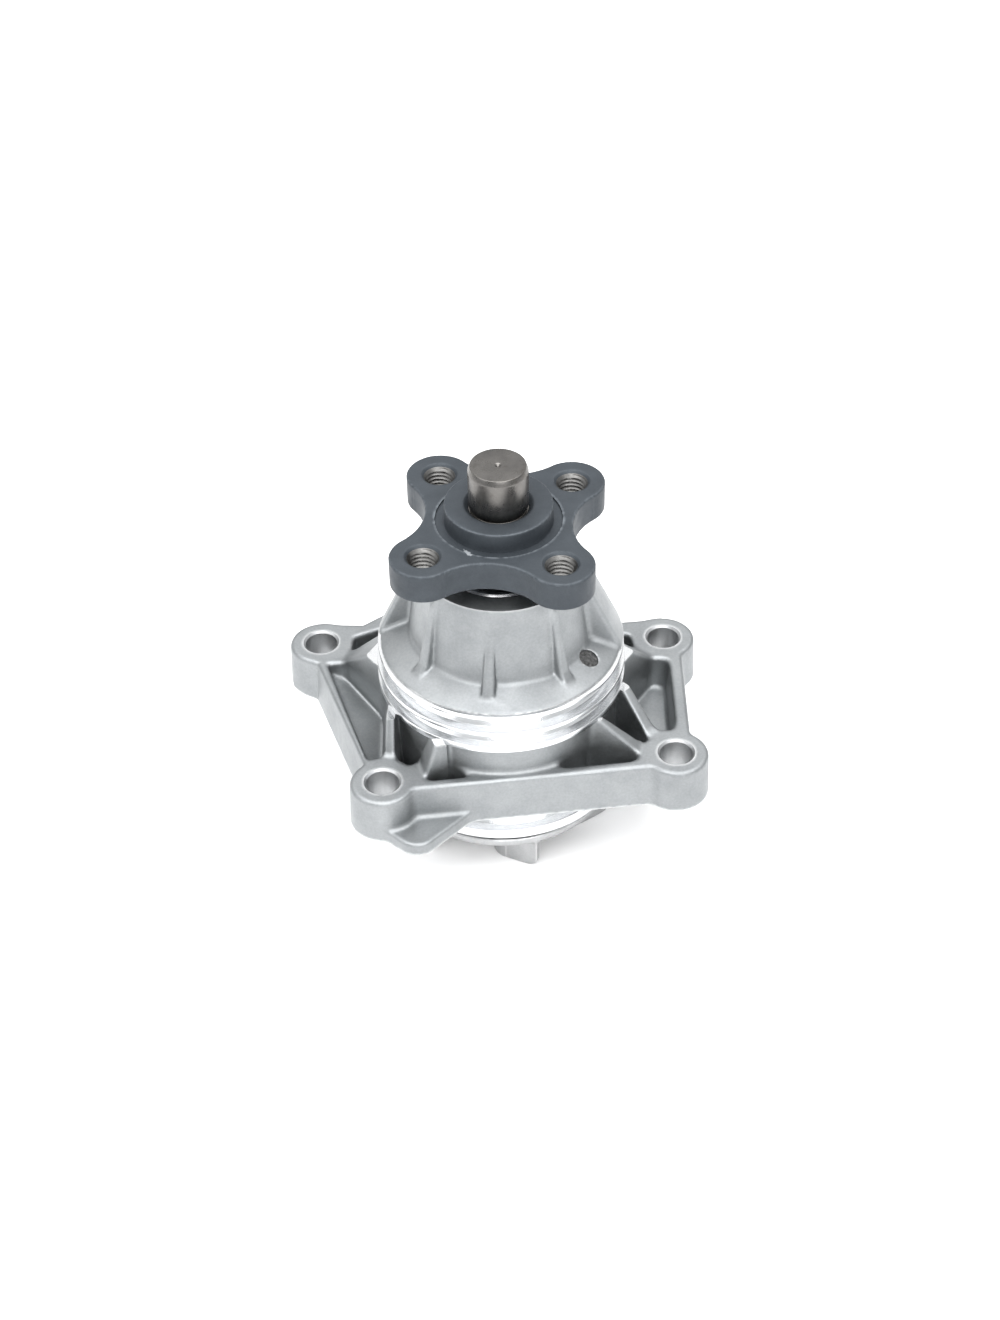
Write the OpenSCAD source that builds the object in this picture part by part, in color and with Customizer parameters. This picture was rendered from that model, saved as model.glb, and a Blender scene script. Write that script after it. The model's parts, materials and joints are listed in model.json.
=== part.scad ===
// Belt-driven engine coolant pump: a die-cast housing with a four-bolt frame, an integral shaft
// bearing, a face seal and a pressed impeller, driven through a four-arm hub for a fan.
// Z is the shaft axis, up towards the hub. Z = 0 is the frame's mounting face.

/* [Shaft and bearing] */
// Diameter of the bearing's shaft
shaft_d = 15.918; // [15.8:0.002:16]
// Height of the shaft's nose above the hub's boss
nose_len = 12; // [8:0.5:16]
// Outer diameter of the bearing's outer ring
ring_d = 30; // [29.8:0.1:30.2]
// Length of the bearing's outer ring
ring_len = 38.9; // [38:0.1:39]
// Balls in the impeller-side row
ball_count = 9; // [7:1:9]
// Rollers in the hub-side row
roller_count = 10; // [8:1:10]

/* [Drive hub] */
// Height of the hub's top face above the mounting face
hub_top = 75; // [74:0.5:78]
// Thickness of the hub's arms
hub_t = 8.5; // [7.5:0.5:9]
// Pitch circle of the four tapped holes
hub_pcd = 50.5; // [50:0.5:54]
// Minor diameter of the M8 x 1.25 threads
tap_d = 6.65; // [6.6:0.05:6.9]
// Radius of the rounded arm ends
arm_r = 8.9; // [8.5:0.1:9]
// Radius from the axis to the bottom of each waist between two arms
waist_r = 19.7; // [19:0.1:20.5]
// Turn of the hub about the axis from square to the frame
hub_turn = -6.4; // [-45:0.1:45]

/* [Housing] */
// Height of the bearing mouth above the mounting face
mouth_z = 61; // [60.8:0.1:61.5]
// Diameter of the cone at the mouth
mouth_d = 43.8; // [42:0.1:45]
// Diameter of the turned upper land
rim_d = 67.2; // [66.8:0.1:67.6]
// Diameter of the turned middle and lower lands
land_d = 68; // [67.6:0.1:68.4]
// Diameter of the neck inside the frame
neck_d = 64.6; // [64:0.1:65]
// Diameter of the lower spigot
spigot_d = 68; // [67:0.1:69]
// Depth of the lower spigot below the mounting face
spigot_h = 10.3; // [10:0.1:11]

/* [Mounting frame] */
// Height of the frame
frame_h = 13.2; // [12:0.1:14]
// Diameter of the four bolt holes
bolt_d = 9; // [8.6:0.1:9.4]
// Radius of the four bolt bosses
boss_r = 9; // [8.6:0.1:9.4]

/* [Impeller] */
// Radius of the impeller
impeller_r = 31.5; // [30:0.1:32]
// Number of vanes
vane_count = 6; // [5:1:8]
// Height of the vanes below the disc
vane_h = 9.3; // [7:0.1:11]

/* [Hidden] */
$fn = 96;
eps = 0.01;
shaft_r = shaft_d / 2;

// Housing heights and radii
mouth_r = mouth_d / 2;
rim_r = rim_d / 2;
land_r = land_d / 2;
neck_r = neck_d / 2;
spigot_r = spigot_d / 2;
rim_z = 34.7;
groove_depth = 2.5;
upper_land_h = 1.3;
upper_groove_h = 4.1;
middle_land_h = 1.2;
lower_groove_h = 3.9;
lower_land_h = 1.8;
land_1_z = rim_z - upper_land_h;
land_2_z = land_1_z - upper_groove_h;
land_3_z = land_2_z - middle_land_h;
land_4_z = land_3_z - lower_groove_h;
ring_bottom = land_4_z - lower_land_h;
spigot_groove_top = 2.8;
spigot_groove_bottom = 6.8;
spigot_inner_r = 30;
volute_z = -5;
seal_bore_r = 18.25;
shoulder_z = 19.5;
shoulder_r = 13.4;
ring_r = ring_d / 2;
ring_top = mouth_z - 0.4;
ring_low = ring_top - ring_len;

// Front of the cone: a tower around the bearing on a sloping shelf, between a flank on each side,
// with three ribs on the shelf. Each rib's edge is a list of [radius, height].
core_r = 24.8;
shelf_z = 38.6;
flank_left_y = 2.2;
flank_right_y = -6.4;
rib_t = 3;
rib_angles = [-141.3, -97.4, -51.5];
rib_tall = [[30, 35.2], [27.4, 39.5], [23.3, 57.6], [21.2, 60.2]];
rib_low = [[29.6, 35.2], [20.9, 58.3]];

// Vent from the seal chamber, drilled square to the shelf
shelf_slope = (shelf_z - rim_z) / (rim_r - core_r);
vent_angle = -30.1;
vent_at = 27.2;
vent_z = shelf_z - (vent_at - core_r) * shelf_slope;
vent_r = 2.75;
vent_len = 12;
vent_slot_r = 3;
vent_slot_at = 20.5;
vent_slot_low = 11;
vent_slot_top = 31;

// Frame: bolt bosses, outline, and the pockets between its walls with the height of each floor. The
// left pocket's sloping floor is built apart.
bolts = [[-51.5, 23.7], [46.6, 23.6], [-32.4, -34.6], [47.1, -25]];
frame_outline = [
    [-51.5, 32.5], [-40, 32], [-32.5, 37.8], [28.5, 37.8], [35.5, 31.4], [46.6, 32.4],
    [51.9, 20], [51.9, -20], [46, -30.4], [-27, -38.6], [-38, -28], [-52.6, 14.2], [-59, 20]
];
pockets = [
    [[-49.4, 14.3], [-33, 14.3], [-32.2, -3.9], [-32.4, -24.4], [-36.6, -25.8]],
    [[-29.2, -9], [-21.6, -21], [-21.8, -25.6], [-25.6, -28.2], [-29.2, -25]],
    [[-18.6, -22.5], [-21.2, -32.8], [-20.3, -34.2], [-9, -32.9]],
    [[14, -28.5], [16, -30.2], [36, -27.8], [37, -26], [35.9, -23.6], [22, -20.6]],
    [[31.5, -5], [26.5, -17.5], [27.5, -20.8], [36.6, -21.2], [38.6, -21.2], [40.1, -19]],
    [
        [31, -4], [41.6, -15.6], [44.2, -16.2], [46.8, -16], [47.6, -14.6], [47.7, 13.2], [46.8, 14.2],
        [39, 14.2], [31, 6]
    ],
    [[-42.8, 25.4], [-33.5, 29.6], [-27, 26], [-27, 21.5], [-42.8, 19.6]],
    [[27, 27], [37.4, 24.6], [38.4, 19.2], [27, 20.5]]
];
floor_left_high = 9.8;
floor_left_low = 3;
floor_z = 2;
floor_right_z = 3.2;
pocket_floors = [-1, floor_z, floor_z, floor_z, floor_z, floor_right_z, floor_z, floor_z];
// Each web: its outline, where its top starts to fall from the ring and where it meets the frame
web_top = ring_bottom + 0.1;
web_foot = frame_h - 0.4;
webs = [
    [[[-27.8, -9], [-29.3, -25.6], [-32.3, -25.6], [-30.8, -9]], [-30.1, -20], [-30.9, -24.6]],
    [
        [[-15, -24], [-22.4, -26.2], [-21.9, -33.1], [-17.5, -31.4], [-14.8, -31.2], [-11.4, -32.1], [-10, -28]],
        [-18.6, -29.4], [-21.7, -30.4]
    ],
    [[[22, -21.5], [36.9, -24.8], [37.7, -20.6], [22, -19.5]], [27.1, -21.1], [37.2, -23.4]],
    [[[28.5, -5.6], [40.4, -19], [42.7, -16.1], [31, -3.1]], [34.4, -9.5], [40.9, -16.8]],
    [[[-31, -2.2], [-44.8, 15.1], [-43.2, 19.9], [-27, 20.6], [-27, 4]], [-36.1, 9.5], [-45.1, 15]],
    [[[31, -3.3], [42.9, 15], [38.6, 19], [27, 19.8], [27, 8]], [35.7, 8], [41.9, 15.2]]
];
tab_points = [[-36, -40], [-25.6, -49.4], [-20.8, -49.4], [-6.6, -35], [-20, -33]];
tab_h = 3.4;

// Drive hub
boss_h = 5;
boss_top_r = 14.4;
boss_top_z = hub_top + boss_h;
recess_r = 16.8;
recess_depth = 0.6;
hub_low = hub_top - hub_t;
hub_neck_r = 12;
hub_neck_low = mouth_z + 1.4;
hub_chamfer_r = 9.2;
tap_mouth_r = 4.9;
hub_hole_at = hub_pcd / 2;
hub_hole_x = hub_hole_at * cos(45);
// The waist arc touches both arm ends, so its radius follows from the other sizes; the overlap
// lets the two outlines cross
waist_arc_r = (arm_r ^ 2 - waist_r ^ 2 - hub_hole_at ^ 2 + 2 * waist_r * hub_hole_x)
    / (2 * (waist_r - hub_hole_x - arm_r));
waist_at = waist_r + waist_arc_r;
waist_share = arm_r / (arm_r + waist_arc_r);
waist_join_x = hub_hole_x + (waist_at - hub_hole_x) * waist_share;
waist_join_y = hub_hole_x * (1 - waist_share);
waist_overlap = 0.03;
hub_edge = 0.5;

// Shaft
shaft_top = boss_top_z + nose_len;
shaft_low = -21;
nose_chamfer = 0.6;
nose_chamfer_h = 1.5;
centre_mark_r = 0.9;
relief_r = 7.5;
relief_h = 1.2;
relief_top = boss_top_z - 0.1;

// Bearing rolling parts
ball_r = 2.778;
ball_sink = 0.8;
ball_pitch = shaft_r - ball_sink + ball_r;
ball_z = ring_low + 9.6;
roller_r = 2.5;
roller_len = 9;
roller_pitch = shaft_r + roller_r;
roller_z = ring_top - 12;
running = 0.02;
ring_in_r = 12;
ball_groove_r = ball_r + 0.1;
cage_t = 1.4;
cage_gap = 0.15;
seal_w = 2.6;
seal_set = 0.6;
seal_lip_gap = 0.02;

// Face seal, from the seal chamber down to the impeller
slinger_r = 12.2;
slinger_z = 14.6;
cup_t = 0.9;
cup_top = 7.6;
cup_under = cup_top - cup_t;
cup_flange_r = 20.8;
cup_hole_r = 12.6;
carbon_r = 13.6;
carbon_in_r = 10.4;
carbon_low = -7.2;
carbon_top = -1.6;
holder_r = 15.6;
holder_t = 0.8;
bellows_r = 12.3;
bellows_t = 1;
bellows_fold = 1;
spring_r = 14.1;
spring_wire_r = 0.7;
spring_turns = 3.5;
spring_low = carbon_top + holder_t + spring_wire_r;
spring_high = cup_under - spring_wire_r;
seat_low = -11.2;
seat_r = 14;
boot_r = 15.4;
disc_t = 2.5;
disc_low = -15.6;
disc_top = disc_low + disc_t;
impeller_boss_r = 11.5;
bush_r = 10;
vane_t = 2.2;
vane_low = disc_low - vane_h;
vane_inner_r = 13;
vane_bend_at = 21.6;
vane_bend_r = 4;
vane_tail_angle = 20;
vane_tail_len = 9.6;
vane_turn = -94.5;

balls = [for (i = [1:ball_count]) str("ball_", i)];
rollers = [for (i = [1:roller_count]) str("roller_", i)];

// A ring with a rectangular section
module ring(r_in, r_out, z_low, z_high) {
    translate([0, 0, z_low])
        difference() {
            cylinder(r = r_out, h = z_high - z_low);
            translate([0, 0, -1])
                cylinder(r = r_in, h = z_high - z_low + 2);
        }
}

// A wall inside `outline`, level with the ring as far as `start`, then falling to the frame at `foot`
module web(outline, start, foot) {
    fall = (web_top - frame_h) / norm(foot - start);
    reach = (web_top - web_foot) / fall;
    intersection() {
        translate([0, 0, 1])
            linear_extrude(height = web_top - 1)
                polygon(outline);
        translate([start[0], start[1], 0])
            rotate([0, 0, atan2(foot[1] - start[1], foot[0] - start[0])])
                rotate([90, 0, 0])
                    translate([0, 0, -40])
                        linear_extrude(height = 80)
                            polygon([
                                [-50, 0], [reach + 9, 0], [reach + 9, web_foot], [reach, web_foot],
                                [-20, web_top + 20 * fall], [-50, web_top + 20 * fall]
                            ]);
    }
}

// The turned outside of the body, from the spigot up to the bearing mouth
module turned_body() {
    rotate_extrude()
        polygon([
            [0, volute_z], [spigot_inner_r, volute_z], [spigot_inner_r, -spigot_h],
            [spigot_r - 0.6, -spigot_h], [spigot_r, -spigot_h + 0.6],
            [spigot_r, -spigot_groove_bottom], [spigot_r - groove_depth, -spigot_groove_bottom],
            [spigot_r - groove_depth, -spigot_groove_top], [spigot_r, -spigot_groove_top],
            [spigot_r, 0], [neck_r, 0], [neck_r, ring_bottom], [land_r, ring_bottom],
            [land_r, land_4_z], [land_r - groove_depth, land_4_z], [land_r - groove_depth, land_3_z],
            [land_r, land_3_z], [land_r, land_2_z], [rim_r - groove_depth, land_2_z],
            [rim_r - groove_depth, land_1_z], [rim_r, land_1_z], [rim_r, rim_z],
            [mouth_r, mouth_z], [0, mouth_z]
        ]);
}

// Space cored out of the cone above the shelf, as far as the two flanks
module front_core() {
    difference() {
        rotate_extrude()
            polygon([
                [mouth_r, mouth_z + 1], [mouth_r, mouth_z], [core_r, shelf_z],
                [rim_r + 0.2, rim_z - 0.1], [rim_r + 3, rim_z], [rim_r + 3, mouth_z + 1]
            ]);
        translate([-50, flank_left_y, rim_z - 2])
            cube([51, 60, mouth_z - rim_z + 6]);
        translate([0, flank_right_y, rim_z - 2])
            cube([50, 60, mouth_z - rim_z + 6]);
    }
}

// A rib that stands on the shelf against the tower
module cone_rib(angle, edge) {
    rotate([0, 0, angle])
        translate([0, rib_t / 2, 0])
            rotate([90, 0, 0])
                linear_extrude(height = rib_t)
                    polygon(concat([[mouth_r - 3, edge[0][1]]], edge, [[mouth_r - 3, edge[len(edge) - 1][1]]]));
}

module frame_walls() {
    difference() {
        linear_extrude(height = frame_h)
            polygon(frame_outline);
        for (i = [0:len(pockets) - 1])
            translate([0, 0, pocket_floors[i]])
                linear_extrude(height = frame_h + 1 - pocket_floors[i])
                    polygon(pockets[i]);
    }
}

// Floor of the left pocket, falling towards the neck
module left_floor() {
    intersection() {
        linear_extrude(height = frame_h)
            polygon(pockets[0]);
        translate([0, 20, 0])
            rotate([90, 0, 0])
                linear_extrude(height = 50)
                    polygon([[-52, 0], [-28, 0], [-28, floor_left_low], [-52, floor_left_high]]);
    }
}

module housing_bores() {
    translate([0, 0, ring_low])
        cylinder(r = ring_r, h = mouth_z - ring_low + 1);
    translate([0, 0, mouth_z - 0.8])
        cylinder(r1 = ring_r, r2 = ring_r + 1.8, h = 1.8);
    translate([0, 0, shoulder_z - 1])
        cylinder(r = shoulder_r, h = ring_low - shoulder_z + 2);
    translate([0, 0, volute_z - 10])
        cylinder(r = seal_bore_r, h = shoulder_z - volute_z + 10);
    rotate([0, 0, vent_angle])
        translate([vent_slot_at, 0, vent_slot_low])
            cylinder(r = vent_slot_r, h = vent_slot_top - vent_slot_low, $fn = 48);
    vent_axis()
        translate([0, 0, -vent_len])
            cylinder(r = vent_r, h = vent_len + 5, $fn = 48);
    for (b = bolts)
        translate([b[0], b[1], -1])
            cylinder(d = bolt_d, h = frame_h + 2, $fn = 64);
    for (b = bolts)
        translate([b[0], b[1], frame_h - 0.7])
            cylinder(d1 = bolt_d, d2 = bolt_d + 2, h = 1, $fn = 64);
}

// Places its children at the vent's mouth, with +Z out of the shelf
module vent_axis() {
    rotate([0, 0, vent_angle])
        translate([vent_at, 0, vent_z])
            rotate([0, atan(shelf_slope), 0])
                children();
}

module housing() {
    color([0.76, 0.78, 0.8])
        difference() {
            union() {
                difference() {
                    turned_body();
                    front_core();
                }
                for (i = [0:2])
                    cone_rib(rib_angles[i], i == 1 ? rib_low : rib_tall);
                frame_walls();
                left_floor();
                for (b = bolts)
                    translate([b[0], b[1], 0])
                        cylinder(r = boss_r, h = frame_h, $fn = 64);
                for (w = webs)
                    web(w[0], w[1], w[2]);
                linear_extrude(height = tab_h)
                    polygon(tab_points);
            }
            housing_bores();
        }
}

module vent_filter() {
    color([0.2, 0.2, 0.2])
        vent_axis()
            translate([0, 0, -3.4])
                cylinder(r = vent_r, h = 2.8, $fn = 48);
}

module bearing_outer_ring() {
    color([0.7, 0.7, 0.7])
        rotate_extrude()
            difference() {
                polygon([
                    [ring_in_r + 0.4, ring_low], [ring_r - 0.6, ring_low], [ring_r, ring_low + 0.6],
                    [ring_r, ring_top - 0.6], [ring_r - 0.6, ring_top], [ring_in_r + 0.4, ring_top],
                    [ring_in_r + 0.4, ring_top - seal_set - seal_w], [ring_in_r, ring_top - seal_set - seal_w],
                    [ring_in_r, ring_low + seal_set + seal_w], [ring_in_r + 0.4, ring_low + seal_set + seal_w]
                ]);
                translate([ball_pitch, ball_z])
                    circle(r = ball_groove_r);
                translate([ring_in_r - 1, roller_z - roller_len / 2 - 0.3])
                    square([roller_pitch + roller_r + running - ring_in_r + 1, roller_len + 0.6]);
            }
}

module pump_shaft() {
    color([0.55, 0.53, 0.5])
        rotate_extrude()
            difference() {
                polygon([
                    [0, shaft_low], [shaft_r - 1, shaft_low], [shaft_r, shaft_low + 1],
                    [shaft_r, relief_top - relief_h], [relief_r, relief_top - relief_h],
                    [relief_r, relief_top], [shaft_r, relief_top],
                    [shaft_r, shaft_top - nose_chamfer_h], [shaft_r - nose_chamfer, shaft_top],
                    [centre_mark_r, shaft_top], [0, shaft_top - centre_mark_r]
                ]);
                translate([ball_pitch, ball_z])
                    circle(r = ball_groove_r);
            }
}

module ball(i) {
    color([0.8, 0.8, 0.82])
        rotate([0, 0, i * 360 / ball_count])
            translate([ball_pitch, 0, ball_z])
                sphere(r = ball_r, $fn = 48);
}

module roller(i) {
    color([0.8, 0.8, 0.82])
        rotate([0, 0, i * 360 / roller_count])
            translate([roller_pitch + running / 2, 0, roller_z - roller_len / 2])
                cylinder(r = roller_r - running / 2, h = roller_len, $fn = 48);
}

module ball_cage() {
    color([0.9, 0.88, 0.8])
        difference() {
            ring(ball_pitch - cage_t / 2, ball_pitch + cage_t / 2, ball_z - ball_r - 1.2, ball_z + ball_r + 1.2);
            for (i = [1:ball_count])
                rotate([0, 0, i * 360 / ball_count])
                    translate([ball_pitch, 0, ball_z])
                        rotate([0, 90, 0])
                            cylinder(r = ball_r + cage_gap, h = 4 * cage_t, center = true, $fn = 48);
        }
}

module roller_cage() {
    half = roller_len / 2;
    color([0.9, 0.88, 0.8])
        difference() {
            ring(roller_pitch - cage_t / 2, roller_pitch + cage_t / 2, roller_z - half - 1.6, roller_z + half + 1.6);
            for (i = [1:roller_count])
                rotate([0, 0, i * 360 / roller_count])
                    translate([roller_pitch - 2 * cage_t, -roller_r - cage_gap, roller_z - half - cage_gap])
                        cube([4 * cage_t, 2 * roller_r + 2 * cage_gap, roller_len + 2 * cage_gap]);
        }
}

// Rubber lip seal between the outer ring and the shaft
module lip_seal(z_low) {
    color([0.12, 0.12, 0.12])
        rotate_extrude()
            polygon([
                [shaft_r + seal_lip_gap, z_low + 1.1], [shaft_r + seal_lip_gap + 0.9, z_low + 0.4],
                [ring_in_r + 0.4, z_low + 0.4], [ring_in_r + 0.4, z_low + seal_w],
                [ring_in_r - 1.6, z_low + seal_w], [ring_in_r - 1.6, z_low + 1.5],
                [shaft_r + seal_lip_gap + 0.5, z_low + 1.9]
            ]);
}

// Steel ring that stiffens a lip seal
module seal_ring(z_low) {
    color([0.6, 0.6, 0.62])
        ring(ring_in_r - 2.4, ring_in_r + 0.4, z_low, z_low + 0.4);
}

module hub_side_seal() {
    translate([0, 0, ring_top - seal_set])
        mirror([0, 0, 1])
            lip_seal(0);
}

module hub_side_seal_ring() {
    seal_ring(ring_top - seal_set - 0.4);
}

module chamber_side_seal() {
    lip_seal(ring_low + seal_set);
}

module chamber_side_seal_ring() {
    seal_ring(ring_low + seal_set);
}

// Outline of the four arms: round ends joined by hollow waists that meet them smoothly
module hub_outline() {
    difference() {
        for (k = [0:3])
            rotate([0, 0, 90 * k])
                polygon([
                    [0, 0], [waist_join_x, -waist_join_y], [waist_join_x, waist_join_y],
                    [waist_join_y, waist_join_x]
                ]);
        for (k = [0:3])
            rotate([0, 0, 90 * k])
                translate([waist_at, 0])
                    circle(r = waist_arc_r + waist_overlap);
    }
    for (k = [0:3])
        rotate([0, 0, 45 + 90 * k])
            translate([hub_hole_at, 0])
                circle(r = arm_r);
}

module tapped_hole() {
    countersink_h = tap_mouth_r - tap_d / 2;
    translate([0, 0, hub_low - 1])
        cylinder(d = tap_d, h = hub_t + 2, $fn = 48);
    translate([0, 0, hub_top - countersink_h])
        cylinder(r1 = tap_d / 2, r2 = tap_mouth_r + eps, h = countersink_h + eps, $fn = 48);
}

module drive_hub() {
    bore_chamfer = hub_chamfer_r - shaft_r;
    color([0.25, 0.27, 0.3])
        rotate([0, 0, hub_turn])
            difference() {
                union() {
                    translate([0, 0, hub_low])
                        linear_extrude(height = hub_t)
                            hub_outline();
                    rotate_extrude()
                        polygon([
                            [0, hub_neck_low], [hub_neck_r, hub_neck_low], [hub_neck_r, hub_low + 1],
                            [boss_top_r, hub_low + 1], [boss_top_r, boss_top_z - hub_edge],
                            [boss_top_r - hub_edge, boss_top_z], [0, boss_top_z]
                        ]);
                }
                ring(boss_top_r, recess_r, hub_top - recess_depth, hub_top + 1);
                translate([0, 0, hub_neck_low - 1])
                    cylinder(r = shaft_r, h = boss_top_z);
                translate([0, 0, boss_top_z - bore_chamfer])
                    cylinder(r1 = shaft_r, r2 = hub_chamfer_r + eps, h = bore_chamfer + eps);
                for (k = [0:3])
                    rotate([0, 0, 45 + 90 * k])
                        translate([hub_hole_at, 0, 0])
                            tapped_hole();
            }
}

// Disc that throws off any water that creeps up the shaft
module slinger() {
    color([0.62, 0.63, 0.65])
        rotate_extrude()
            polygon([
                [shaft_r, slinger_z - 2], [shaft_r + 1, slinger_z - 2], [shaft_r + 1, slinger_z],
                [slinger_r, slinger_z], [slinger_r, slinger_z + 0.8], [shaft_r, slinger_z + 0.8]
            ]);
}

module seal_cup() {
    color([0.72, 0.66, 0.42])
        rotate_extrude()
            polygon([
                [seal_bore_r - cup_t, volute_z - cup_t], [cup_flange_r, volute_z - cup_t],
                [cup_flange_r, volute_z], [seal_bore_r, volute_z], [seal_bore_r, cup_top],
                [cup_hole_r, cup_top], [cup_hole_r, cup_under], [seal_bore_r - cup_t, cup_under]
            ]);
}

// One point on the spring's wire: its centre climbs from spring_low to spring_high
function coil_point(step, steps, side, sides) =
    let (
        turn = 360 * spring_turns * step / steps,
        lift = spring_low + (spring_high - spring_low) * step / steps,
        a = 360 * side / sides,
        r = spring_r + spring_wire_r * cos(a)
    )
    [r * cos(turn), r * sin(turn), lift + spring_wire_r * sin(a)];

module seal_spring() {
    steps = 84;
    sides = 10;
    points = [for (s = [0:steps]) for (k = [0:sides - 1]) coil_point(s, steps, k, sides)];
    walls = [
        for (s = [0:steps - 1]) for (k = [0:sides - 1])
            let (n = (k + 1) % sides)
            [s * sides + k, (s + 1) * sides + k, (s + 1) * sides + n, s * sides + n]
    ];
    first_cap = [for (k = [0:sides - 1]) k];
    last_cap = [for (k = [sides - 1:-1:0]) steps * sides + k];
    color([0.6, 0.6, 0.62])
        polyhedron(points, concat([first_cap], walls, [last_cap]), convexity = 8);
}

// Rubber bellows between the cup and the carbon ring, with two folds
module seal_bellows() {
    fold = (cup_under - carbon_top) / 6;
    crest = [for (i = [0:6]) [bellows_r - (i % 2) * bellows_fold, carbon_top + i * fold]];
    color([0.1, 0.1, 0.1])
        rotate_extrude()
            polygon(concat(crest, [for (i = [6:-1:0]) crest[i] - [bellows_t, 0]]));
}

// Pressed holder round the carbon ring, with a shelf under the spring
module seal_holder() {
    color([0.68, 0.68, 0.7])
        rotate_extrude()
            polygon([
                [bellows_r, carbon_top], [bellows_r, carbon_top + holder_t], [holder_r, carbon_top + holder_t],
                [holder_r, carbon_top], [carbon_r + holder_t, carbon_top - 0.4],
                [carbon_r + holder_t, carbon_top - 3], [carbon_r, carbon_top - 3], [carbon_r, carbon_top]
            ]);
}

module carbon_ring() {
    color([0.16, 0.16, 0.17])
        rotate_extrude()
            polygon([
                [carbon_in_r, carbon_top], [carbon_in_r, carbon_low + 1], [carbon_in_r + 0.8, carbon_low],
                [carbon_r - 0.8, carbon_low], [carbon_r, carbon_low + 1], [carbon_r, carbon_top]
            ]);
}

module mating_ring() {
    color([0.92, 0.91, 0.88])
        ring(shaft_r + 1, seat_r, seat_low, carbon_low);
}

module mating_boot() {
    color([0.13, 0.13, 0.14])
        rotate_extrude()
            polygon([
                [shaft_r, disc_top], [boot_r, disc_top], [boot_r, carbon_low - 1.2],
                [seat_r, carbon_low - 1.2], [seat_r, seat_low], [shaft_r, seat_low]
            ]);
}

module impeller_bush() {
    color([0.6, 0.6, 0.62])
        ring(shaft_r, bush_r, shaft_low, disc_top);
}

// Point on the bend of a vane, r from the bend's centre and a degrees round it
function bend_point(r, a) = [vane_bend_at + r * sin(a), vane_bend_r - r * cos(a)];

// One vane: radial at its root, bent over into a tail that ends at the disc's edge
module vane() {
    sweep = 90 - vane_tail_angle;
    tail = vane_tail_len * [cos(sweep), sin(sweep)];
    near = vane_bend_r - vane_t / 2;
    far = vane_bend_r + vane_t / 2;
    translate([0, 0, vane_low])
        linear_extrude(height = vane_h + eps)
            polygon(concat(
                [[vane_inner_r, vane_t / 2]],
                [for (a = [0:10:sweep]) bend_point(near, a)],
                [bend_point(near, sweep) + tail, bend_point(far, sweep) + tail],
                [for (a = [sweep:-10:0]) bend_point(far, a)],
                [[vane_inner_r, -vane_t / 2]]
            ));
}

module impeller() {
    color([0.6, 0.61, 0.62])
        difference() {
            union() {
                translate([0, 0, disc_low])
                    cylinder(r = impeller_r, h = disc_t);
                translate([0, 0, shaft_low])
                    cylinder(r = impeller_boss_r, h = disc_low - shaft_low + eps);
                for (k = [0:vane_count - 1])
                    rotate([0, 0, vane_turn + 360 * k / vane_count])
                        vane();
            }
            translate([0, 0, shaft_low - 1])
                cylinder(r = bush_r, h = disc_top - shaft_low + 2);
        }
}

housing();
vent_filter();
bearing_outer_ring();
pump_shaft();
roller_cage();
ball_cage();
hub_side_seal();
hub_side_seal_ring();
chamber_side_seal();
chamber_side_seal_ring();
drive_hub();
slinger();
seal_cup();
seal_spring();
seal_bellows();
seal_holder();
carbon_ring();
mating_ring();
mating_boot();
impeller_bush();
impeller();
for (i = [1:ball_count]) ball(i);
for (i = [1:roller_count]) roller(i);
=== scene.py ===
"""Engine coolant pump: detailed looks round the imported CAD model.

The cast and pressed pieces are solid shapes written as distance fields in millimetres and meshed by
dual contouring, so that cast corners are filleted and machined edges stay crisp. Turned pieces are
lathed from their profiles. Everything else keeps its CAD mesh and gets a procedural material.
"""

import json
import math

import bpy
import numpy as np
from mathutils import Matrix, Vector


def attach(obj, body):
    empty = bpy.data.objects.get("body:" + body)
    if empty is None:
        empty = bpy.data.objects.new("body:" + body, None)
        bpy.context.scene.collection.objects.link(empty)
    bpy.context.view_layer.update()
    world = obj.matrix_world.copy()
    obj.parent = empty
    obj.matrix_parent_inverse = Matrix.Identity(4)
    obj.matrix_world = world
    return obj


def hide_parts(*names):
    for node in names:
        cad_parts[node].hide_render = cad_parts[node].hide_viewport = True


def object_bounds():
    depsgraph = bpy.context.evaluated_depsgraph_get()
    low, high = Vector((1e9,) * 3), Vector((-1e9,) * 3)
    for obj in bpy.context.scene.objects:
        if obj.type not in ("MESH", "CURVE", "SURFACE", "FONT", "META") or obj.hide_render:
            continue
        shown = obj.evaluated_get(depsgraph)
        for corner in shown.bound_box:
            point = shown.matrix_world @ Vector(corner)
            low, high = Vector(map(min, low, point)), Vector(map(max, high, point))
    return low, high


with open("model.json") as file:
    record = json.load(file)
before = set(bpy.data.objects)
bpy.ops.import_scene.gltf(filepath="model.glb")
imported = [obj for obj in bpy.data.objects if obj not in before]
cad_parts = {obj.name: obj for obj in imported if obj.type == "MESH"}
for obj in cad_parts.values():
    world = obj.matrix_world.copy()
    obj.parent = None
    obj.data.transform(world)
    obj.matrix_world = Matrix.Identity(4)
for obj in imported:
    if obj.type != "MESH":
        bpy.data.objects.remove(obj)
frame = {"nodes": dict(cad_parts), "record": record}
CAD_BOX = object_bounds()
MM = 0.001


# ---------------------------------------------------------------- distance fields, in millimetres

def smin(a, b, k):
    """Union of two fields with a fillet about 0.85 k in radius."""
    h = np.clip(0.5 + 0.5 * (b - a) / k, 0.0, 1.0)
    return b + (a - b) * h - k * h * (1.0 - h)


def smax(a, b, k):
    """Intersection of two fields with its edge rounded."""
    return -smin(-a, -b, k)


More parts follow.
